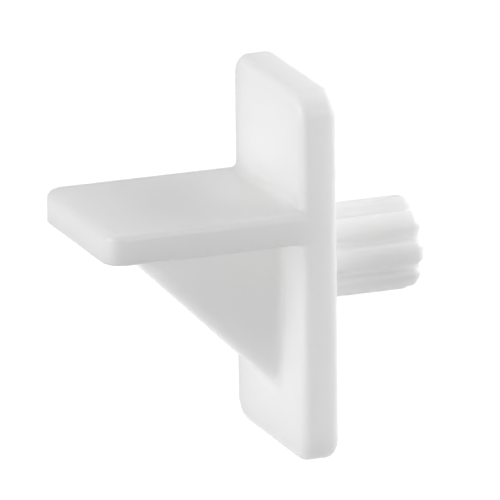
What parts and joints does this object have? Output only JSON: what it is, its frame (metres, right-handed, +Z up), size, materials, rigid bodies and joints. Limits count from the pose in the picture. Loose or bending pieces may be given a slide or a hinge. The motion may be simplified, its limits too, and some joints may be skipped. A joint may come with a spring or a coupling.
{
  "type": "shelf support pin",
  "caption": "White moulded shelf support pin: an upright plate with a ledge and a tapered gusset in front, and behind it a fluted round peg that presses into a drilled hole.",
  "frame": {"origin": "centre of the peg on the plate's back face", "axes": "+Y along the peg, away from the plate and into the hole; +Z up; X across the plate; the ledge points to -Y"},
  "size_m": [0.0126, 0.0236, 0.0254],
  "materials": {
    "white_plastic": "satin, as moulded"
  },
  "bodies": {
    "root": {"shelf_pin": "white_plastic"}
  },
  "joints": []
}
